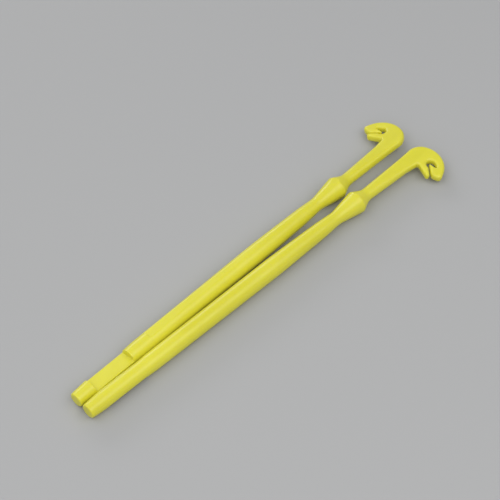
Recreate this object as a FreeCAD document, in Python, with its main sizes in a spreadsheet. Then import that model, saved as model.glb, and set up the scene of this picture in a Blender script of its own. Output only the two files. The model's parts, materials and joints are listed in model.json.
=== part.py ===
import FreeCAD, Part
import os
import Sketcher

# A set of two equal one-piece moulded loop tyers, lying side by side, one turned over.
# Each tool: round handle with a label recess, flare, shank and a flat hooked head whose
# barb closes against a springy gate prong. Frame of the set: +X from tail to head, +Y to
# the left, +Z up, origin on the surface under the middle of the pair's footprint.

doc = FreeCAD.newDocument("LoopTyerSet")
sheet = doc.addObject("Spreadsheet::Sheet", "Sizes")

# Handle and flare in millimetres, x from the tail end face
HANDLE_SIZES = [
    ("tail_radius", 2.25),
    ("collar_x", 5.6),
    ("collar_radius", 2.66),
    ("collar_end_x", 21.0),
    ("grip_start_x", 24.0),
    ("grip_start_radius", 2.82),
    ("grip_end_x", 73.3),
    ("grip_radius", 3.02),
    ("fore_grip_x", 93.0),
    ("fore_grip_radius", 2.55),
    ("neck_x", 99.4),
    ("neck_radius", 2.12),
    ("flare_x", 103.7),
    ("flare_radius", 2.9),
    ("rim_x", 108.5),
    ("rim_radius", 3.68),
    ("tail_round", 0.8),
    ("rim_round", 1.0),
    ("recess_start_x", 5.9),
    ("recess_end_x", 20.2),
    ("recess_floor", 0.42),
    ("panel_start_x", 28.2),
    ("panel_end_x", 78.5),
    ("panel_depth", 0.55),
]

# Shank and head in millimetres: x from the flare's rim, y towards the hook
HEAD_SIZES = [
    ("cone_end_x", 4.35),
    ("cone_end_radius", 1.65),
    ("shank_start_x", 3.0),
    ("shank_start_width", 3.9),
    ("shank_start_height", 3.75),
    ("shank_start_round", 1.75),
    ("shank_end_x", 24.7),
    ("shank_end_width", 4.8),
    ("shank_end_height", 2.9),
    ("shank_end_round", 0.9),
    ("head_thickness", 2.6),
    ("plate_start_x", 21.9),
    ("plate_start_half", 2.2),
    ("bow_x", 26.8),
    ("bow_y", 2.85),
    ("bow_radius", 5.5),
    ("bow_start_angle", -97.0),
    ("crown_radius", 7.6),
    ("crown_start_angle", -27.0),
    ("crown_end_angle", 65.0),
    ("tip_x", 25.55),
    ("tip_y", 11.9),
    ("tip_round", 1.2),
    ("heel_x", 24.4),
    ("heel_y", 8.8),
    ("heel_round", 1.8),
    ("barb_x", 27.5),
    ("barb_y", 5.05),
    ("barb_round", 0.25),
    ("notch_x", 27.75),
    ("notch_y", 8.6),
    ("notch_round", 0.3),
    ("eye_x", 27.6),
    ("eye_y", 5.8),
    ("eye_radius", 1.4),
    ("eye_out_angle", 20.0),
    ("eye_slit_angle", 171.5),
    ("gate_slit_x", 24.05),
    ("gate_slit_y", 8.6),
    ("gate_side_x", 23.0),
    ("gate_side_y", 8.0),
    ("gate_round", 0.65),
    ("gate_root_x", 24.75),
    ("gate_root_y", 3.0),
    ("gate_root_round", 0.5),
]

# How the two tools lie beside each other
SET_SIZES = [
    ("right_roll", 7.5),
    ("left_roll", 7.5),
    ("lie_pitch", 0.45),
    ("spread_angle", 1.71),
    ("left_tail_x", 0.2),
    ("left_tail_y", 5.27),
]


def fill_sheet():
    """Write every driving dimension into the sheet, one aliased cell each."""
    for row, (alias, value) in enumerate(HANDLE_SIZES + HEAD_SIZES + SET_SIZES, start=1):
        sheet.set("A%d" % row, alias)
        sheet.set("B%d" % row, str(value))
        sheet.setAlias("B%d" % row, alias)
    doc.recompute()


def size(alias):
    return float(sheet.get(alias))


def plane_of(body, role):
    """The body's own origin plane with this role."""
    for feature in body.Origin.OriginFeatures:
        if feature.Role == role:
            return feature
    raise RuntimeError("no plane " + role)


def new_sketch(body, name, role):
    sketch = body.newObject("Sketcher::SketchObject", name)
    sketch.AttachmentSupport = [(plane_of(body, role), "")]
    sketch.MapMode = "FlatFace"
    return sketch


def evaluate(sketch, expression):
    return float(sketch.evalExpression(expression))


def pin_point(sketch, geometry, end, place):
    """Hold one sketch point at a pair of expressions measured from the sketch's origin."""
    for kind, expression in zip(("DistanceX", "DistanceY"), place):
        value = evaluate(sketch, expression)
        if abs(value) < 1e-9:
            axis = -2 if kind == "DistanceX" else -1
            sketch.addConstraint(Sketcher.Constraint("PointOnObject", geometry, end, axis))
            continue
        index = sketch.addConstraint(Sketcher.Constraint(kind, -1, 1, geometry, end, value))
        sketch.setExpression("Constraints[%d]" % index, expression)


def draw_outline(sketch, places, arcs=None):
    """Draw a closed outline through places (pairs of expressions).

    arcs maps the number of a side to (x, y, radius, clockwise) expressions of its circle.
    """
    arcs = arcs or {}
    points = []
    for x, y in places:
        points.append(FreeCAD.Vector(evaluate(sketch, x), evaluate(sketch, y), 0))
    ends = []
    for number, start in enumerate(points):
        finish = points[(number + 1) % len(points)]
        if number not in arcs:
            sketch.addGeometry(Part.LineSegment(start, finish), False)
            ends.append((1, 2))
            continue
        x, y, radius, clockwise = arcs[number]
        centre = FreeCAD.Vector(evaluate(sketch, x), evaluate(sketch, y), 0)
        circle = Part.Circle(centre, FreeCAD.Vector(0, 0, 1), evaluate(sketch, radius))
        first, last = (finish, start) if clockwise else (start, finish)
        arc = Part.ArcOfCircle(circle, circle.parameter(first), circle.parameter(last))
        sketch.addGeometry(arc, False)
        ends.append((2, 1) if clockwise else (1, 2))
        index = sketch.addConstraint(Sketcher.Constraint("Radius", number, evaluate(sketch, radius)))
        sketch.setExpression("Constraints[%d]" % index, radius)
    for number in range(len(points)):
        following = (number + 1) % len(points)
        joint = (number, ends[number][1], following, ends[following][0])
        sketch.addConstraint(Sketcher.Constraint("Coincident", *joint))
        pin_point(sketch, number, ends[number][0], places[number])


def draw_rounded_box(sketch, width, height, radius):
    """Draw a box with round corners, centred on the sketch's origin."""
    half_w = evaluate(sketch, width) / 2
    half_h = evaluate(sketch, height) / 2
    round_r = evaluate(sketch, radius)
    corners = [(1, -1, -90), (1, 1, 0), (-1, 1, 90), (-1, -1, 180)]
    for sign_x, sign_y, start_angle in corners:
        centre = FreeCAD.Vector(sign_x * (half_w - round_r), sign_y * (half_h - round_r), 0)
        circle = Part.Circle(centre, FreeCAD.Vector(0, 0, 1), round_r)
        first = start_angle * 3.141592653589793 / 180
        sketch.addGeometry(Part.ArcOfCircle(circle, first, first + 3.141592653589793 / 2), False)
    for number in range(4):
        following = (number + 1) % 4
        start = sketch.getPoint(number, 2)
        finish = sketch.getPoint(following, 1)
        sketch.addGeometry(Part.LineSegment(start, finish), False)
    for number in range(4):
        line = 4 + number
        following = (number + 1) % 4
        sketch.addConstraint(Sketcher.Constraint("Tangent", number, 2, line, 1))
        sketch.addConstraint(Sketcher.Constraint("Tangent", line, 2, following, 1))
        sketch.addConstraint(Sketcher.Constraint("Vertical" if number % 2 == 0 else "Horizontal", line))
    for number in range(1, 4):
        sketch.addConstraint(Sketcher.Constraint("Equal", 0, number))
    sketch.addConstraint(Sketcher.Constraint("Symmetric", 0, 3, 2, 3, -1, 1))
    for constraint, expression in (
        (("Radius", 0), radius),
        (("DistanceX", 6, 1, 4, 1), width),
        (("DistanceY", 7, 1, 5, 1), height),
    ):
        value = evaluate(sketch, expression)
        index = sketch.addConstraint(Sketcher.Constraint(*constraint, value))
        sketch.setExpression("Constraints[%d]" % index, expression)


def edges_where(feature, test):
    """Names of the feature's edges whose middle point and curve pass the test."""
    names = []
    for number, edge in enumerate(feature.Shape.Edges, start=1):
        middle = edge.valueAt((edge.FirstParameter + edge.LastParameter) / 2)
        if test(edge, middle):
            names.append("Edge%d" % number)
    return names


def add_fillet(body, base, name, radius, test):
    """Round the edges of base that pass the test."""
    doc.recompute()
    names = edges_where(base, test)
    if not names:
        raise RuntimeError("no edge to round for " + name)
    fillet = body.newObject("PartDesign::Fillet", name)
    fillet.Base = (base, names)
    fillet.setExpression("Radius", radius)
    doc.recompute()
    return fillet


def cell(alias):
    """Expression for one size."""
    return "Sizes." + alias


def head_x(alias):
    """Expression for a size that the sheet counts from the flare's rim."""
    return "Sizes.rim_x + Sizes." + alias


def on_circle(x, y, radius, angle):
    """Expressions for the point of a circle at an angle in degrees from +X."""
    return ("%s + %s * cos(%s)" % (x, radius, angle), "%s + %s * sin(%s)" % (y, radius, angle))


def build_tool(side):
    """One loop tyer in its own frame: tail end face at x = 0, hook towards +Y, recess up."""
    body = doc.addObject("PartDesign::Body", side + "_tool")
    body.Label = side + "_loop_tyer"

    # Handle, neck, flare and front cone, turned about X
    profile = new_sketch(body, side + "_handle_profile", "XY_Plane")
    places = [("0", "0"), ("0", cell("tail_radius"))]
    places.append((cell("collar_x"), cell("collar_radius")))
    places.append((cell("collar_end_x"), cell("collar_radius")))
    places.append((cell("grip_start_x"), cell("grip_start_radius")))
    places.append((cell("grip_end_x"), cell("grip_radius")))
    for station in ("fore_grip", "neck", "flare", "rim"):
        places.append((cell(station + "_x"), cell(station + "_radius")))
    places.append((head_x("cone_end_x"), cell("cone_end_radius")))
    places.append((head_x("cone_end_x"), "0"))
    draw_outline(profile, places)
    handle = body.newObject("PartDesign::Revolution", side + "_handle")
    handle.Profile = profile
    handle.ReferenceAxis = (profile, ["H_Axis"])
    handle.Angle = 360

    tail_edge = add_fillet(
        body, handle, side + "_tail_rounding", cell("tail_round"),
        lambda edge, middle: abs(middle.x) < 1e-6,
    )
    rim_x = size("rim_x")
    rim_edge = add_fillet(
        body, tail_edge, side + "_rim_rounding", cell("rim_round"),
        lambda edge, middle: abs(middle.x - rim_x) < 1e-6 and edge.Closed,
    )

    # Shank, from nearly round at the flare to wide and flat at the head
    start = new_sketch(body, side + "_shank_start", "YZ_Plane")
    start.setExpression("AttachmentOffset.Base.z", head_x("shank_start_x"))
    draw_rounded_box(start, cell("shank_start_width"), cell("shank_start_height"), cell("shank_start_round"))
    finish = new_sketch(body, side + "_shank_end", "YZ_Plane")
    finish.setExpression("AttachmentOffset.Base.z", head_x("shank_end_x"))
    draw_rounded_box(finish, cell("shank_end_width"), cell("shank_end_height"), cell("shank_end_round"))
    doc.recompute()
    shank = body.newObject("PartDesign::AdditiveLoft", side + "_shank")
    shank.Profile = start
    shank.Sections = [finish]
    shank.Ruled = True
    doc.recompute()

    # Hooked head: bow, tip, barb, notch, eye, slit and gate prong
    # The crown's wider circle touches the bow's circle where the two arcs meet
    plan = new_sketch(body, side + "_head_plan", "XY_Plane")
    bow = (head_x("bow_x"), cell("bow_y"), cell("bow_radius"))
    eye = (head_x("eye_x"), cell("eye_y"), cell("eye_radius"))
    wider = "(Sizes.crown_radius - Sizes.bow_radius)"
    crown = (
        "%s - %s * cos(Sizes.crown_start_angle)" % (head_x("bow_x"), wider),
        "Sizes.bow_y - %s * sin(Sizes.crown_start_angle)" % wider,
        cell("crown_radius"),
    )
    corners = [
        (head_x("plate_start_x"), "-" + cell("plate_start_half")),
        on_circle(*bow, cell("bow_start_angle")),
        on_circle(*bow, cell("crown_start_angle")),
        on_circle(*crown, cell("crown_end_angle")),
        (head_x("tip_x"), cell("tip_y")),
        (head_x("heel_x"), cell("heel_y")),
        (head_x("barb_x"), cell("barb_y")),
        (head_x("notch_x"), cell("notch_y")),
        on_circle(*eye, cell("eye_out_angle")),
        on_circle(*eye, cell("eye_slit_angle")),
        (head_x("gate_slit_x"), cell("gate_slit_y")),
        (head_x("gate_side_x"), cell("gate_side_y")),
        (head_x("gate_root_x"), cell("gate_root_y")),
        (head_x("plate_start_x"), cell("plate_start_half")),
    ]
    arcs = {1: (*bow, False), 2: (*crown, False), 8: (*eye, True)}
    draw_outline(plan, corners, arcs)
    plate = body.newObject("PartDesign::Pad", side + "_head")
    plate.Profile = plan
    plate.Midplane = True
    plate.setExpression("Length", cell("head_thickness"))
    doc.recompute()

    # Rounding of the head's corners in plan
    feature = plate
    for corner in ("tip", "heel", "barb", "notch", "gate_slit", "gate_side", "gate_root"):
        corner_x = rim_x + size(corner + "_x")
        corner_y = size(corner + "_y")
        rounding = "gate_round" if corner in ("gate_slit", "gate_side") else corner + "_round"
        feature = add_fillet(
            body, feature, "%s_%s_rounding" % (side, corner), cell(rounding),
            lambda edge, middle: abs(middle.x - corner_x) < 1e-4 and abs(middle.y - corner_y) < 1e-4,
        )

    # Label recess: a flat floor between the end collar and the grip
    recess_plan = new_sketch(body, side + "_recess_plan", "XZ_Plane")
    above = "%s + 1" % cell("grip_radius")
    draw_outline(recess_plan, [
        (cell("recess_start_x"), cell("recess_floor")),
        (cell("recess_end_x"), cell("recess_floor")),
        (cell("recess_end_x"), above),
        (cell("recess_start_x"), above),
    ])
    recess = body.newObject("PartDesign::Pocket", side + "_recess")
    recess.Profile = recess_plan
    recess.Midplane = True
    recess.setExpression("Length", "4 * " + cell("grip_radius"))

    # Long shallow panel that runs out towards the neck
    panel_plan = new_sketch(body, side + "_panel_plan", "XZ_Plane")
    draw_outline(panel_plan, [
        (cell("panel_start_x"), "%s - %s" % (cell("grip_radius"), cell("panel_depth"))),
        (cell("panel_end_x"), cell("grip_radius")),
        (cell("panel_end_x"), above),
        (cell("panel_start_x"), above),
    ])
    panel = body.newObject("PartDesign::Pocket", side + "_panel")
    panel.Profile = panel_plan
    panel.Midplane = True
    panel.setExpression("Length", "4 * " + cell("grip_radius"))
    body.Tip = panel
    doc.recompute()
    for pocket, base in ((recess, feature), (panel, recess)):
        if not pocket.Shape.Volume < base.Shape.Volume - 0.1:
            raise RuntimeError(pocket.Name + " cuts nothing")
    return body


def tight_box(body):
    """The body's exact bounding box where it lies."""
    return body.Shape.optimalBoundingBox(False, False)


def lay_down(body, rotation, tail_x, tail_y):
    """Turn a tool and set it on the surface z = 0 with its tail at (tail_x, tail_y)."""
    body.Placement = FreeCAD.Placement(FreeCAD.Vector(tail_x, tail_y, 0), rotation)
    doc.recompute()
    body.Placement.Base = FreeCAD.Vector(tail_x, tail_y, -tight_box(body).ZMin)
    doc.recompute()


def place_set(right, left):
    """Lay the pair as it is kept: hooks outwards and down, the right tool turned over."""
    x_axis = FreeCAD.Vector(1, 0, 0)
    y_axis = FreeCAD.Vector(0, 1, 0)
    z_axis = FreeCAD.Vector(0, 0, 1)
    pitch = FreeCAD.Rotation(y_axis, -size("lie_pitch"))
    yaw = FreeCAD.Rotation(z_axis, size("spread_angle"))
    hook_right = FreeCAD.Rotation(x_axis, 180 + size("right_roll"))
    hook_left = FreeCAD.Rotation(x_axis, -size("left_roll"))
    lay_down(right, pitch.multiply(hook_right), 0, 0)
    lay_down(left, yaw.multiply(pitch).multiply(hook_left), size("left_tail_x"), size("left_tail_y"))
    both = tight_box(right)
    both.add(tight_box(left))
    for body in (right, left):
        body.Placement.Base = body.Placement.Base - FreeCAD.Vector(both.Center.x, both.Center.y, 0)
    doc.recompute()


def check_document(parts):
    for item in doc.Objects:
        if "Invalid" in item.State or "Error" in item.State:
            raise RuntimeError("%s failed: %s" % (item.Name, item.State))
    for part in parts:
        if part.Shape.isNull() or not part.Shape.isValid():
            raise RuntimeError(part.Label + " has no valid shape")


fill_sheet()
right_tool = build_tool("right")
left_tool = build_tool("left")
place_set(right_tool, left_tool)
check_document([right_tool, left_tool])

os.makedirs("parts", exist_ok=True)
for tool_body in (right_tool, left_tool):
    tool_body.Shape.exportStep("parts/%s.step" % tool_body.Label)
    box = tight_box(tool_body)
    print(tool_body.Label, "%.2f x %.2f x %.2f" % (box.XLength, box.YLength, box.ZLength),
          "volume %.1f" % tool_body.Shape.Volume, "solids", len(tool_body.Shape.Solids))
gap = right_tool.Shape.distToShape(left_tool.Shape)[0]
print("clear gap between the two tools %.3f" % gap)
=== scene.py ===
import json
import math
import bmesh
import bpy
from mathutils import Matrix, Vector


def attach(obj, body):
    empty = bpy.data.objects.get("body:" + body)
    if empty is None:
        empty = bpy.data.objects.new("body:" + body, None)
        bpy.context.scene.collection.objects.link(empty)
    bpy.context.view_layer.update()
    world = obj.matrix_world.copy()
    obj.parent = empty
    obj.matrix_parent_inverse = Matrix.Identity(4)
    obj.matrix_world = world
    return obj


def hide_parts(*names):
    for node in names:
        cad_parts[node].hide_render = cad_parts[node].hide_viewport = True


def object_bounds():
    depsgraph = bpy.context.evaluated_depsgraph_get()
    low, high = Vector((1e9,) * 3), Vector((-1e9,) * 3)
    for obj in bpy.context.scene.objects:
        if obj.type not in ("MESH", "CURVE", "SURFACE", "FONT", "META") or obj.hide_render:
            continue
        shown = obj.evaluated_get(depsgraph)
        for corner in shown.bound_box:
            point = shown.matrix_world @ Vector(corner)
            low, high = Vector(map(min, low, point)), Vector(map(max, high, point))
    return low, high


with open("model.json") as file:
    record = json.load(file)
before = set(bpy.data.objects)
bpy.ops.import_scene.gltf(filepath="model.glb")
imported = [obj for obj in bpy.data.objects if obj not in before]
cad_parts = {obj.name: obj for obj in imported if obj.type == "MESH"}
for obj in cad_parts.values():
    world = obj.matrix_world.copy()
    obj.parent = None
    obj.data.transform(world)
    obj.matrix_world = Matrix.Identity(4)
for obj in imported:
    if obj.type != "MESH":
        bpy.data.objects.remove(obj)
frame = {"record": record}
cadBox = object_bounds()
mounts = {mount["name"]: mount for mount in frame["record"]["mounts"]}
print("stage: frame loaded")

# one moulding is made in its own frame and laid twice, once each way up
# its sizes are millimetres: x from the tail face, hook towards +y, label side +z


def plug(tree, socket, value):
    if isinstance(value, bpy.types.NodeSocket):
        tree.links.new(value, socket)
    else:
        socket.default_value = value


def calc(tree, operation, *values):
    node = tree.nodes.new("ShaderNodeMath")
    node.operation = operation
    for socket, value in zip(node.inputs, values):
        plug(tree, socket, value)
    return node.outputs[0]


def vectorCalc(tree, operation, *values):
    node = tree.nodes.new("ShaderNodeVectorMath")
    node.operation = operation
    for socket, value in zip(node.inputs, values):
        plug(tree, socket, value)
    return node.outputs[0]


def combine(tree, *values):
    node = tree.nodes.new("ShaderNodeCombineXYZ")
    for socket, value in zip(node.inputs, values):
        plug(tree, socket, value)
    return node.outputs[0]


def hypotenuse(tree, first, second):
    firstSquare = calc(tree, "MULTIPLY", first, first)
    secondSquare = calc(tree, "MULTIPLY", second, second)
    return calc(tree, "SQRT", calc(tree, "ADD", firstSquare, secondSquare))


def ramp(tree, value, fromMin, fromMax, toMin, toMax, clamped=False):
    node = tree.nodes.new("ShaderNodeMapRange")
    node.clamp = clamped
    for socket, given in zip(node.inputs, (value, fromMin, fromMax, toMin, toMax)):
        plug(tree, socket, given)
    return node.outputs[0]


def addSocket(tree, way, name, kind):
    return tree.interface.new_socket(name, in_out=way, socket_type="NodeSocket" + kind)


# the plain stretch of the grip is meshed in longer steps than the rest
plainSizes = {
    "plainStartX": 36.0,
    "plainLength": 56.0,
    "plainStretch": 4.0,
}


def makePlainX(tree, size, gridX):
    shortLength = calc(tree, "DIVIDE", size["plainLength"], size["plainStretch"])
    inside = calc(tree, "SUBTRACT", gridX, size["plainStartX"])
    inside = calc(tree, "MINIMUM", calc(tree, "MAXIMUM", inside, 0.0), shortLength)
    extra = calc(tree, "SUBTRACT", size["plainStretch"], 1.0)
    return calc(tree, "MULTIPLY_ADD", inside, extra, gridX)


handleSizes = {
    "tailRadius": 2.25,
    "tailTaperX": 5.6,
    "tailTaperRadius": 2.66,  # the collar keeps this radius up to its end
    "collarEndX": 21.0,
    "gripStartX": 24.0,
    "gripStartRadius": 2.82,
    "gripEndX": 73.3,
    "gripRadius": 3.02,
    "foreGripX": 93.0,
    "foreGripRadius": 2.55,
    "neckX": 99.4,
    "neckRadius": 2.12,
    "flareX": 103.7,
    "flareRadius": 2.9,
    "rimX": 108.5,
    "rimRadius": 3.68,
    "coneEndX": 112.9,
    "coneEndRadius": 1.65,
    "tailRound": 0.75,
    "collarBlend": 0.04,
    "gripBlend": 0.12,
    "neckBlend": 0.5,
    "rimBlend": 0.2,
}


def makeHandleField(tree, size, x, y, z):
    collarRise = ramp(
        tree, x, size["collarEndX"], size["gripStartX"], size["tailTaperRadius"], size["gripStartRadius"]
    )
    gripLine = ramp(
        tree, x, size["gripStartX"], size["gripEndX"], size["gripStartRadius"], size["gripRadius"]
    )
    gripLevel = calc(tree, "SMOOTH_MIN", gripLine, collarRise, size["collarBlend"])
    gripLevel = calc(tree, "MAXIMUM", gripLevel, size["tailTaperRadius"])
    gripEnds = [
        (0.0, size["tailTaperX"], size["tailRadius"], size["tailTaperRadius"]),
        (size["gripEndX"], size["foreGripX"], size["gripRadius"], size["foreGripRadius"]),
        (size["foreGripX"], size["neckX"], size["foreGripRadius"], size["neckRadius"]),
    ]
    for startX, endX, startRadius, endRadius in gripEnds:
        level = ramp(tree, x, startX, endX, startRadius, endRadius)
        gripLevel = calc(tree, "SMOOTH_MIN", gripLevel, level, size["gripBlend"])
    flareLevel = ramp(tree, x, size["neckX"], size["flareX"], size["neckRadius"], size["flareRadius"])
    flareEnds = [
        (size["flareX"], size["rimX"], size["flareRadius"], size["rimRadius"]),
        (size["rimX"], size["coneEndX"], size["rimRadius"], size["coneEndRadius"]),
    ]
    for startX, endX, startRadius, endRadius in flareEnds:
        level = ramp(tree, x, startX, endX, startRadius, endRadius)
        flareLevel = calc(tree, "SMOOTH_MIN", flareLevel, level, size["rimBlend"])
    radius = calc(tree, "SMOOTH_MAX", gripLevel, flareLevel, size["neckBlend"])
    field = calc(tree, "SUBTRACT", hypotenuse(tree, y, z), radius)
    beforeTail = calc(tree, "MULTIPLY", x, -1.0)
    field = calc(tree, "SMOOTH_MAX", field, beforeTail, size["tailRound"])
    pastCone = calc(tree, "SUBTRACT", x, size["coneEndX"])
    return calc(tree, "MAXIMUM", field, pastCone)


# height and edge rounding run from the round shank to the flatter head
headSizes = {
    "shankHalfHeight": 1.88,
    "headHalfHeight": 1.3,
    "shankEdgeRound": 1.84,
    "headEdgeRound": 0.9,
    "shankX": 112.0,
    "headX": 132.0,
}

# once round the head in plan, x from the flare's rim
# a corner is x, y, rounding; an arc is centre x, centre y, radius, first and last angle
headPlan = [
    ("corner", 2.2, -1.95, 0.0),
    ("corner", 21.5, -2.35, 14.0),
    ("arc", 26.8, 2.85, 5.5, -97.0, -27.0),  # bow
    ("arc", 24.93, 3.80, 7.6, -27.0, 65.0),  # crown
    ("corner", 25.55, 11.9, 1.2),  # hook tip
    ("corner", 24.4, 8.8, 1.8),  # heel
    ("corner", 27.5, 5.05, 0.25),  # barb
    ("corner", 27.75, 8.6, 0.3),  # notch
    ("arc", 27.6, 5.8, 1.4, 20.0, -188.5),  # eye, then out along the slit
    ("corner", 24.05, 8.6, 0.65),  # gate prong
    ("corner", 23.0, 8.0, 0.65),
    ("corner", 24.75, 3.0, 0.5),
    ("corner", 20.5, 2.45, 8.0),
    ("corner", 2.2, 1.95, 0.0),
]

planSizes = {
    "spacing": 0.08,  # between points on an arc
    "cornerShare": 0.48,  # of a side that one corner's rounding may use
}


def arcPoints(centreX, centreY, radius, startAngle, endAngle):
    start = math.radians(startAngle)
    sweep = math.radians(endAngle - startAngle)
    count = max(3, math.ceil(abs(sweep) * radius / planSizes["spacing"]))
    points = []
    for step in range(count + 1):
        angle = start + sweep * step / count
        x = centreX + radius * math.cos(angle)
        y = centreY + radius * math.sin(angle)
        points.append(Vector((x, y)))
    return points


def roundCorner(before, corner, after, radius):
    inWay = (before - corner).normalized()
    outWay = (after - corner).normalized()
    halfAngle = inWay.angle(outWay) / 2
    shorter = min((before - corner).length, (after - corner).length)
    reach = min(radius / math.tan(halfAngle), planSizes["cornerShare"] * shorter)
    fitted = reach * math.tan(halfAngle)
    centre = corner + (inWay + outWay).normalized() * (fitted / math.sin(halfAngle))
    first = corner + inWay * reach - centre
    last = corner + outWay * reach - centre
    sweep = first.angle_signed(last)
    count = max(2, math.ceil(abs(sweep) * fitted / planSizes["spacing"]))
    return [centre + Matrix.Rotation(-sweep * step / count, 2) @ first for step in range(count + 1)]


def outlinePoints(plan):
    pieces = []
    for item in plan:
        if item[0] == "arc":
            pieces.append((arcPoints(*item[1:]), 0.0))
        else:
            pieces.append(([Vector(item[1:3])], item[3]))
    points = []
    for number, (piece, rounding) in enumerate(pieces):
        if len(piece) > 1 or rounding == 0.0:
            points.extend(piece)
            continue
        before = pieces[number - 1][0][-1]
        after = pieces[(number + 1) % len(pieces)][0][0]
        points.extend(roundCorner(before, piece[0], after, rounding))
    return points


def makePlanObject():
    mesh = bpy.data.meshes.new("headPlan")
    corners = [(handleSizes["rimX"] + point.x, point.y, 0.0) for point in outlinePoints(headPlan)]
    mesh.from_pydata(corners, [], [list(range(len(corners)))])
    planObject = bpy.data.objects.new("headPlan", mesh)
    bpy.context.scene.collection.objects.link(planObject)
    return planObject


def makeHeadField(tree, size, planObject, x, y, z):
    # distance to the plan's outline, negative where a ray from below meets the plan
    flat = combine(tree, x, y)
    info = tree.nodes.new("GeometryNodeObjectInfo")
    plug(tree, info.inputs["Object"], planObject)
    toEdge = tree.nodes.new("GeometryNodeProximity")
    toEdge.target_element = "EDGES"
    plug(tree, toEdge.inputs[0], info.outputs["Geometry"])
    plug(tree, toEdge.inputs["Source Position"], flat)
    upward = (0.0, 0.0, 1.0)
    hit = tree.nodes.new("GeometryNodeRaycast")
    plug(tree, hit.inputs["Target Geometry"], info.outputs["Geometry"])
    plug(tree, hit.inputs["Source Position"], vectorCalc(tree, "SUBTRACT", flat, upward))
    plug(tree, hit.inputs["Ray Direction"], upward)
    plug(tree, hit.inputs["Ray Length"], 2.0)  # twice the way up to the plan
    side = ramp(tree, hit.outputs["Is Hit"], 0.0, 1.0, 1.0, -1.0)
    planDistance = calc(tree, "MULTIPLY", toEdge.outputs["Distance"], side)

    flattening = tree.nodes.new("ShaderNodeMapRange")
    flattening.interpolation_type = "SMOOTHSTEP"
    for socket, given in zip(flattening.inputs, (x, size["shankX"], size["headX"], 0.0, 1.0)):
        plug(tree, socket, given)
    share = flattening.outputs[0]
    rounding = ramp(tree, share, 0.0, 1.0, size["shankEdgeRound"], size["headEdgeRound"])
    halfHeight = ramp(tree, share, 0.0, 1.0, size["shankHalfHeight"], size["headHalfHeight"])
    outwards = calc(tree, "ADD", planDistance, rounding)
    flatHeight = calc(tree, "SUBTRACT", halfHeight, rounding)
    upwards = calc(tree, "SUBTRACT", calc(tree, "ABSOLUTE", z), flatHeight)
    outPart = calc(tree, "MAXIMUM", outwards, 0.0)
    upPart = calc(tree, "MAXIMUM", upwards, 0.0)
    inner = calc(tree, "MINIMUM", calc(tree, "MAXIMUM", outwards, upwards), 0.0)
    field = calc(tree, "ADD", hypotenuse(tree, outPart, upPart), inner)
    return calc(tree, "SUBTRACT", field, rounding)


# the label recess is a box, the panel a wedge that runs out along the grip
recessSizes = {
    "recessStartX": 5.9,
    "recessEndX": 20.2,
    "recessFloor": 0.42,
    "recessBlend": 0.16,
    "panelStartX": 28.2,
    "panelEndX": 78.5,
    "panelDepth": 0.55,
    "panelBlend": 0.06,
}


def cutRecesses(tree, size, field, x, z):
    pastEnd = calc(tree, "SUBTRACT", x, size["recessEndX"])
    beforeStart = calc(tree, "SUBTRACT", size["recessStartX"], x)
    underFloor = calc(tree, "SUBTRACT", size["recessFloor"], z)
    box = calc(tree, "MAXIMUM", calc(tree, "MAXIMUM", pastEnd, beforeStart), underFloor)
    field = calc(tree, "SMOOTH_MAX", field, calc(tree, "MULTIPLY", box, -1.0), size["recessBlend"])
    low = calc(tree, "SUBTRACT", size["gripRadius"], size["panelDepth"])
    slope = ramp(tree, x, size["panelStartX"], size["panelEndX"], low, size["gripRadius"])
    underSlope = calc(tree, "SUBTRACT", slope, z)
    beforeStep = calc(tree, "SUBTRACT", size["panelStartX"], x)
    wedge = calc(tree, "MAXIMUM", underSlope, beforeStep)
    return calc(tree, "SMOOTH_MAX", field, calc(tree, "MULTIPLY", wedge, -1.0), size["panelBlend"])


mouldSizes = {
    "joinBlend": 0.9,  # head into handle
    "seamHeight": 0.03,
    "seamWidth": 0.14,
}

# the grid's reach round the tool, and its step
gridSizes = {
    "voxel": 0.16,
    "beforeTail": 0.6,
    "pastRim": 33.0,
    "besideHandle": 4.0,
    "besideHook": 12.6,
}

treeSizes = {**handleSizes, **recessSizes, **headSizes, **mouldSizes, **plainSizes}


def addSeam(tree, size, field, z):
    across = calc(tree, "DIVIDE", z, size["seamWidth"])
    fall = calc(tree, "MULTIPLY", calc(tree, "MULTIPLY", across, across), -1.0)
    ridge = calc(tree, "MULTIPLY", calc(tree, "EXPONENT", fall), size["seamHeight"])
    return calc(tree, "SUBTRACT", field, ridge)


def meshField(tree, field):
    reachX = handleSizes["rimX"] + gridSizes["pastRim"]
    reachX -= plainSizes["plainLength"] * (1 - 1 / plainSizes["plainStretch"])
    beside = gridSizes["besideHandle"]
    lowest = (-gridSizes["beforeTail"], -beside, -beside)
    highest = (reachX, gridSizes["besideHook"], beside)
    grid = tree.nodes.new("GeometryNodeVolumeCube")
    plug(tree, grid.inputs["Density"], calc(tree, "MULTIPLY", field, -1.0))
    plug(tree, grid.inputs["Background"], -1.0)
    plug(tree, grid.inputs["Min"], lowest)
    plug(tree, grid.inputs["Max"], highest)
    for axis, low, high in zip("XYZ", lowest, highest):
        plug(tree, grid.inputs["Resolution " + axis], round((high - low) / gridSizes["voxel"]))
    skin = tree.nodes.new("GeometryNodeVolumeToMesh")
    skin.resolution_mode = "GRID"
    plug(tree, skin.inputs["Volume"], grid.outputs[0])
    plug(tree, skin.inputs["Threshold"], 0.0)
    plug(tree, skin.inputs["Adaptivity"], 0.0)
    return skin.outputs[0]


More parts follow.
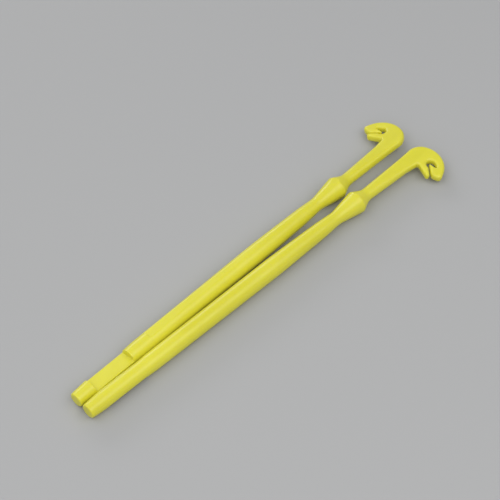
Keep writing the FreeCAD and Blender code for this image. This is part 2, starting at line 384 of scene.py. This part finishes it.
def makeMouldingTree():
    tree = bpy.data.node_groups.new("loopTyerMoulding", "GeometryNodeTree")
    addSocket(tree, "INPUT", "Geometry", "Geometry")
    addSocket(tree, "INPUT", "Head plan", "Object")
    addSocket(tree, "INPUT", "Plastic", "Material")
    for name, value in treeSizes.items():
        addSocket(tree, "INPUT", name, "Float").default_value = value
    addSocket(tree, "OUTPUT", "Geometry", "Geometry")
    given = tree.nodes.new("NodeGroupInput")
    size = {name: given.outputs[name] for name in treeSizes}

    place = tree.nodes.new("GeometryNodeInputPosition")
    axes = tree.nodes.new("ShaderNodeSeparateXYZ")
    plug(tree, axes.inputs[0], place.outputs[0])
    y, z = axes.outputs["Y"], axes.outputs["Z"]
    x = makePlainX(tree, size, axes.outputs["X"])

    handle = makeHandleField(tree, size, x, y, z)
    head = makeHeadField(tree, size, given.outputs["Head plan"], x, y, z)
    field = calc(tree, "SMOOTH_MIN", handle, head, size["joinBlend"])
    field = addSeam(tree, size, field, z)
    field = cutRecesses(tree, size, field, x, z)

    lengthen = tree.nodes.new("GeometryNodeSetPosition")
    plug(tree, lengthen.inputs["Geometry"], meshField(tree, field))
    plug(tree, lengthen.inputs["Position"], combine(tree, x, y, z))
    keep = tree.nodes.new("GeometryNodeStoreNamedAttribute")
    keep.data_type = "FLOAT_VECTOR"
    keep.domain = "POINT"
    plug(tree, keep.inputs["Name"], "mouldPlace")  # millimetres, for the plastic's patterns
    plug(tree, keep.inputs["Geometry"], lengthen.outputs[0])
    plug(tree, keep.inputs["Value"], place.outputs[0])
    smooth = tree.nodes.new("GeometryNodeSetShadeSmooth")
    plug(tree, smooth.inputs[0], keep.outputs[0])
    real = tree.nodes.new("GeometryNodeRealizeInstances")
    plug(tree, real.inputs[0], smooth.outputs[0])
    paint = tree.nodes.new("GeometryNodeSetMaterial")
    plug(tree, paint.inputs["Geometry"], real.outputs[0])
    plug(tree, paint.inputs["Material"], given.outputs["Plastic"])
    result = tree.nodes.new("NodeGroupOutput")
    plug(tree, result.inputs[0], paint.outputs[0])
    return tree


def setInput(modifier, tree, name, value):
    for item in tree.interface.items_tree:
        if item.item_type == "SOCKET" and item.in_out == "INPUT" and item.name == name:
            modifier[item.identifier] = value


def mouldTool(plastic):
    planObject = makePlanObject()
    tree = makeMouldingTree()
    blank = bpy.data.objects.new("blank", bpy.data.meshes.new("blank"))
    bpy.context.scene.collection.objects.link(blank)
    modifier = blank.modifiers.new("moulding", "NODES")
    modifier.node_group = tree
    setInput(modifier, tree, "Head plan", planObject)
    setInput(modifier, tree, "Plastic", plastic)
    for name, value in treeSizes.items():
        setInput(modifier, tree, name, value)
    shown = blank.evaluated_get(bpy.context.evaluated_depsgraph_get())
    mesh = bpy.data.meshes.new_from_object(shown)
    bpy.data.objects.remove(blank)
    bpy.data.objects.remove(planObject)
    body = bmesh.new()
    body.from_mesh(mesh)
    bmesh.ops.recalc_face_normals(body, faces=body.faces)
    openEdges = sum(1 for edge in body.edges if not edge.is_manifold)
    print("stage: tool moulded,", len(body.faces), "faces,", openEdges, "open edges")
    body.to_mesh(mesh)
    body.free()
    return mesh


# pattern lengths are millimetres of the tool's own frame, colours are linear
plasticSizes = {
    "paleResin": (0.77, 0.725, 0.052, 1.0),
    "deepResin": (0.71, 0.665, 0.038, 1.0),
    "rubbed": (0.80, 0.76, 0.12, 1.0),
    "dust": (0.60, 0.58, 0.48, 1.0),
    "smoothest": 0.28,
    "roughest": 0.39,
    "unevenStart": 0.3,
    "unevenEnd": 0.7,
    "flowScale": 0.16,
    "flowStretch": 0.22,
    "grainScale": 2.6,
    "grainHeight": 0.0016,
    "rippleScale": 0.22,
    "rippleHeight": 0.030,
    "scratchAcross": 2.2,
    "scratchAlong": 0.10,
    "scratchWidth": 0.012,
    "scratchRoughness": 0.18,
    "scratchHeight": -0.004,
    "wearStart": 0.53,
    "wearEnd": 0.60,
    "wearRoughness": -0.08,
    "dustShare": 0.10,
    "dustRoughness": 0.6,
    "bumpDistance": 0.001,
    "glow": 0.35,
    "glowScale": 0.0014,
    "glowRadius": (1.0, 0.9, 0.25),
}

# the two tools have been handled differently
toolWear = {
    "right": {"offset": (11.0, 3.0, 7.0), "scratches": 0.7, "rub": 0.35},
    "left": {"offset": (47.0, 29.0, 13.0), "scratches": 1.0, "rub": 0.5},
}

effectSizes = {
    "grainDetail": 4.0,
    "rippleDetail": 1.0,
    "scratchDetail": 1.0,
    "dustSlopeStart": 0.2,  # upward part of the normal
    "dustSlopeFull": 0.95,
}

# noise that breaks up each effect, with the levels where the effect starts and is full
patchSizes = {
    "flow": {"detail": 3.0, "start": 0.32, "full": 0.68, "least": 0.0},
    "scratches": {"scale": 0.35, "detail": 2.0, "start": 0.50, "full": 0.62, "least": 0.0},
    "rub": {"scale": 0.9, "detail": 3.0, "start": 0.35, "full": 0.65, "least": 0.3},
    "dust": {"scale": 3.2, "detail": 5.0, "start": 0.56, "full": 0.72, "least": 0.0},
}


def makeGroup(name, inputs, outputs):
    tree = bpy.data.node_groups.new(name, "ShaderNodeTree")
    for label, kind in inputs.items():
        addSocket(tree, "INPUT", label, kind)
    for label, kind in outputs.items():
        addSocket(tree, "OUTPUT", label, kind)
    given = tree.nodes.new("NodeGroupInput")
    result = tree.nodes.new("NodeGroupOutput")
    return tree, given.outputs, result.inputs


def noise(tree, place, scale, detail):
    node = tree.nodes.new("ShaderNodeTexNoise")
    plug(tree, node.inputs["Vector"], place)
    plug(tree, node.inputs["Scale"], scale)
    plug(tree, node.inputs["Detail"], detail)
    return node.outputs["Fac"]


def patches(tree, place, scale, sizes):
    level = noise(tree, place, scale, sizes["detail"])
    return ramp(tree, level, sizes["start"], sizes["full"], sizes["least"], 1.0, True)


def brokenMask(tree, given, where, name):
    sizes = patchSizes[name]
    breakup = patches(tree, given["Place"], sizes["scale"], sizes)
    return calc(tree, "MULTIPLY", calc(tree, "MULTIPLY", where, breakup), given["Share"])


def mixColors(tree, share, first, second):
    node = tree.nodes.new("ShaderNodeMix")
    node.data_type = "RGBA"
    plug(tree, node.inputs["Factor"], share)
    plug(tree, node.inputs["A"], first)
    plug(tree, node.inputs["B"], second)
    return node.outputs["Result"]


def makeResinTone():
    inputs = {"Place": "Vector", "Pale": "Color", "Deep": "Color", "Scale": "Float", "Stretch": "Float"}
    tree, given, result = makeGroup("resinTone", inputs, {"Color": "Color"})
    flow = vectorCalc(tree, "MULTIPLY", given["Place"], combine(tree, given["Stretch"], 1.0, 1.0))
    share = patches(tree, flow, given["Scale"], patchSizes["flow"])
    plug(tree, result["Color"], mixColors(tree, share, given["Pale"], given["Deep"]))
    return tree


def makeMouldGrain():
    inputs = {
        "Place": "Vector", "Grain scale": "Float", "Grain height": "Float",
        "Ripple scale": "Float", "Ripple height": "Float",
    }
    tree, given, result = makeGroup("mouldGrain", inputs, {"Height": "Float", "Unevenness": "Float"})
    grain = noise(tree, given["Place"], given["Grain scale"], effectSizes["grainDetail"])
    ripple = noise(tree, given["Place"], given["Ripple scale"], effectSizes["rippleDetail"])
    fine = calc(tree, "MULTIPLY", grain, given["Grain height"])
    mean = calc(tree, "MULTIPLY", calc(tree, "ADD", grain, ripple), 0.5)
    plug(tree, result["Height"], calc(tree, "MULTIPLY_ADD", ripple, given["Ripple height"], fine))
    plug(tree, result["Unevenness"], mean)
    return tree


def makeHandlingScratches():
    inputs = {"Place": "Vector", "Across": "Float", "Along": "Float", "Width": "Float", "Share": "Float"}
    tree, given, result = makeGroup("handlingScratches", inputs, {"Mask": "Float"})
    stretch = combine(tree, given["Along"], given["Across"], given["Across"])
    drawn = vectorCalc(tree, "MULTIPLY", given["Place"], stretch)
    level = noise(tree, drawn, 1.0, effectSizes["scratchDetail"])
    offset = calc(tree, "ABSOLUTE", calc(tree, "SUBTRACT", level, 0.5))  # lines follow the middle level
    line = ramp(tree, offset, 0.0, given["Width"], 1.0, 0.0, True)
    plug(tree, result["Mask"], brokenMask(tree, given, line, "scratches"))
    return tree


def makeEdgeRub():
    inputs = {"Place": "Vector", "Start": "Float", "End": "Float", "Share": "Float"}
    tree, given, result = makeGroup("edgeRub", inputs, {"Mask": "Float"})
    shape = tree.nodes.new("ShaderNodeNewGeometry")
    edge = ramp(tree, shape.outputs["Pointiness"], given["Start"], given["End"], 0.0, 1.0, True)
    plug(tree, result["Mask"], brokenMask(tree, given, edge, "rub"))
    return tree


def makeSettledDust():
    tree, given, result = makeGroup("settledDust", {"Place": "Vector", "Share": "Float"}, {"Mask": "Float"})
    shape = tree.nodes.new("ShaderNodeNewGeometry")
    axes = tree.nodes.new("ShaderNodeSeparateXYZ")
    plug(tree, axes.inputs[0], shape.outputs["Normal"])
    slope = (effectSizes["dustSlopeStart"], effectSizes["dustSlopeFull"])
    upward = ramp(tree, axes.outputs["Z"], *slope, 0.0, 1.0, True)
    plug(tree, result["Mask"], brokenMask(tree, given, upward, "dust"))
    return tree


effectTrees = {
    "tone": makeResinTone(),
    "grain": makeMouldGrain(),
    "scratches": makeHandlingScratches(),
    "rub": makeEdgeRub(),
    "dust": makeSettledDust(),
}
print("stage: plastic effects made")


def addEffect(tree, name, **values):
    node = tree.nodes.new("ShaderNodeGroup")
    node.node_tree = effectTrees[name]
    for label, value in values.items():
        plug(tree, node.inputs[label.replace("_", " ")], value)
    return node.outputs


def makePlastic(side):
    sizes = plasticSizes
    wear = toolWear[side]
    material = bpy.data.materials.new(side + "LemonPlastic")
    material.use_nodes = True
    tree = material.node_tree
    shader = tree.nodes["Principled BSDF"].inputs
    where = tree.nodes.new("ShaderNodeAttribute")
    where.attribute_name = "mouldPlace"
    place = vectorCalc(tree, "ADD", where.outputs["Vector"], wear["offset"])

    tone = addEffect(
        tree, "tone", Place=place, Pale=sizes["paleResin"], Deep=sizes["deepResin"],
        Scale=sizes["flowScale"], Stretch=sizes["flowStretch"],
    )["Color"]
    grain = addEffect(
        tree, "grain", Place=place, Grain_scale=sizes["grainScale"], Grain_height=sizes["grainHeight"],
        Ripple_scale=sizes["rippleScale"], Ripple_height=sizes["rippleHeight"],
    )
    scratches = addEffect(
        tree, "scratches", Place=place, Across=sizes["scratchAcross"], Along=sizes["scratchAlong"],
        Width=sizes["scratchWidth"], Share=wear["scratches"],
    )["Mask"]
    rub = addEffect(
        tree, "rub", Place=place, Start=sizes["wearStart"], End=sizes["wearEnd"], Share=wear["rub"]
    )["Mask"]
    dust = addEffect(tree, "dust", Place=place, Share=sizes["dustShare"])["Mask"]

    color = mixColors(tree, rub, tone, sizes["rubbed"])
    plug(tree, shader["Base Color"], mixColors(tree, dust, color, sizes["dust"]))
    uneven = (sizes["unevenStart"], sizes["unevenEnd"])
    roughness = ramp(tree, grain["Unevenness"], *uneven, sizes["smoothest"], sizes["roughest"])
    roughness = calc(tree, "MULTIPLY_ADD", scratches, sizes["scratchRoughness"], roughness)
    roughness = calc(tree, "MULTIPLY_ADD", rub, sizes["wearRoughness"], roughness)
    roughness = calc(tree, "MULTIPLY_ADD", dust, sizes["dustRoughness"], roughness)
    plug(tree, shader["Roughness"], roughness)
    shader["Subsurface Weight"].default_value = sizes["glow"]
    shader["Subsurface Scale"].default_value = sizes["glowScale"]
    shader["Subsurface Radius"].default_value = sizes["glowRadius"]
    height = calc(tree, "MULTIPLY_ADD", scratches, sizes["scratchHeight"], grain["Height"])
    bump = tree.nodes.new("ShaderNodeBump")
    bump.inputs["Distance"].default_value = sizes["bumpDistance"]
    plug(tree, bump.inputs["Height"], height)
    plug(tree, shader["Normal"], bump.outputs[0])
    return material


def toolPlace(side):
    # the tail face gives the start and the length, the label recess which way the tool faces
    tail = mounts[side + "_tail_end"]
    along = -Vector(tail["axis"]).normalized()
    up = Vector(mounts[side + "_label_recess"]["axis"]).normalized()
    across = up.cross(along)
    turn = Matrix((along, across, up)).transposed().to_4x4()
    return Matrix.Translation(tail["pos_m"]) @ turn @ Matrix.Scale(0.001, 4)  # millimetres to metres


plastics = {side: makePlastic(side) for side in toolWear}
toolMesh = mouldTool(plastics["right"])
for side, plastic in plastics.items():
    mesh = toolMesh.copy()
    mesh.materials[0] = plastic
    mesh.transform(toolPlace(side))
    tool = bpy.data.objects.new(side + "LoopTyer", mesh)
    bpy.context.scene.collection.objects.link(tool)
    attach(tool, side + "_tool")
    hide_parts(side + "_loop_tyer")
print("stage: tools placed")

middle = (cadBox[0] + cadBox[1]) / 2  # lamps and camera are placed from here, in metres

floorSizes = {
    "half": 1.5,
    "color": (0.42, 0.42, 0.415, 1.0),
    "roughness": 0.9,
}

lampSizes = {
    "key": {"from": (-0.30, 0.24, 0.62), "width": 0.80, "height": 0.70, "power": 1.5},
    "front": {"from": (-0.38, -0.34, 0.58), "width": 0.90, "height": 0.80, "power": 2.2},
    "side": {"from": (0.12, -0.42, 0.60), "width": 0.70, "height": 0.50, "power": 1.9},
    "rim": {"from": (0.20, 0.68, 0.28), "width": 0.50, "height": 0.20, "power": 1.3},
}

studioSizes = {
    "color": (0.92, 0.94, 1.0, 1.0),
    "strength": 0.36,
}

cameraSizes = {
    "azimuth": -42.93,
    "elevation": 49.94,
    "roll": -2.14,
    "lens": 115.2,
    "distance": 0.4744,
    "aim": (-0.0002, -0.0031, -0.0002),
    "shiftX": -0.0285,
    "shiftY": 0.0365,
    "clipStart": 0.01,
}


def makeFloor():
    half = floorSizes["half"]
    corners = [(-half, -half, 0), (half, -half, 0), (half, half, 0), (-half, half, 0)]
    mesh = bpy.data.meshes.new("floor")
    mesh.from_pydata(corners, [], [(0, 1, 2, 3)])
    material = bpy.data.materials.new("paleFloor")
    material.use_nodes = True
    shader = material.node_tree.nodes["Principled BSDF"]
    shader.inputs["Base Color"].default_value = floorSizes["color"]
    shader.inputs["Roughness"].default_value = floorSizes["roughness"]
    mesh.materials.append(material)
    floor = bpy.data.objects.new("floor", mesh)
    bpy.context.scene.collection.objects.link(floor)


def makeLamp(name, sizes):
    lamp = bpy.data.lights.new(name, "AREA")
    lamp.shape = "RECTANGLE"
    lamp.size = sizes["width"]
    lamp.size_y = sizes["height"]
    lamp.energy = sizes["power"]
    holder = bpy.data.objects.new(name, lamp)
    holder.location = middle + Vector(sizes["from"])
    holder.rotation_euler = (middle - holder.location).to_track_quat("-Z", "Y").to_euler()
    bpy.context.scene.collection.objects.link(holder)


def makeStudio():
    studio = bpy.data.worlds.new("studio")
    studio.use_nodes = True
    background = studio.node_tree.nodes["Background"]
    background.inputs["Color"].default_value = studioSizes["color"]
    background.inputs["Strength"].default_value = studioSizes["strength"]
    bpy.context.scene.world = studio
    bpy.context.scene.view_settings.view_transform = "Standard"


def makeCamera():
    azimuth = math.radians(cameraSizes["azimuth"])
    elevation = math.radians(cameraSizes["elevation"])
    roll = math.radians(cameraSizes["roll"])
    level = math.cos(elevation)
    back = Vector((math.sin(azimuth) * level, -math.cos(azimuth) * level, math.sin(elevation)))
    levelRight = Vector((math.cos(azimuth), math.sin(azimuth), 0))
    levelUp = back.cross(levelRight)
    right = levelRight * math.cos(roll) + levelUp * math.sin(roll)
    up = levelUp * math.cos(roll) - levelRight * math.sin(roll)
    turn = Matrix((right, up, back)).transposed().to_4x4()
    aim = middle + Vector(cameraSizes["aim"])
    lens = bpy.data.cameras.new("camera")
    lens.lens = cameraSizes["lens"]
    lens.clip_start = cameraSizes["clipStart"]
    lens.shift_x = cameraSizes["shiftX"]
    lens.shift_y = cameraSizes["shiftY"]
    camera = bpy.data.objects.new("camera", lens)
    camera.matrix_world = Matrix.Translation(aim + back * cameraSizes["distance"]) @ turn
    bpy.context.scene.collection.objects.link(camera)
    bpy.context.scene.camera = camera


makeFloor()
for lampName, lampSize in lampSizes.items():
    makeLamp(lampName, lampSize)
makeStudio()
makeCamera()

print("stage: scene ready")
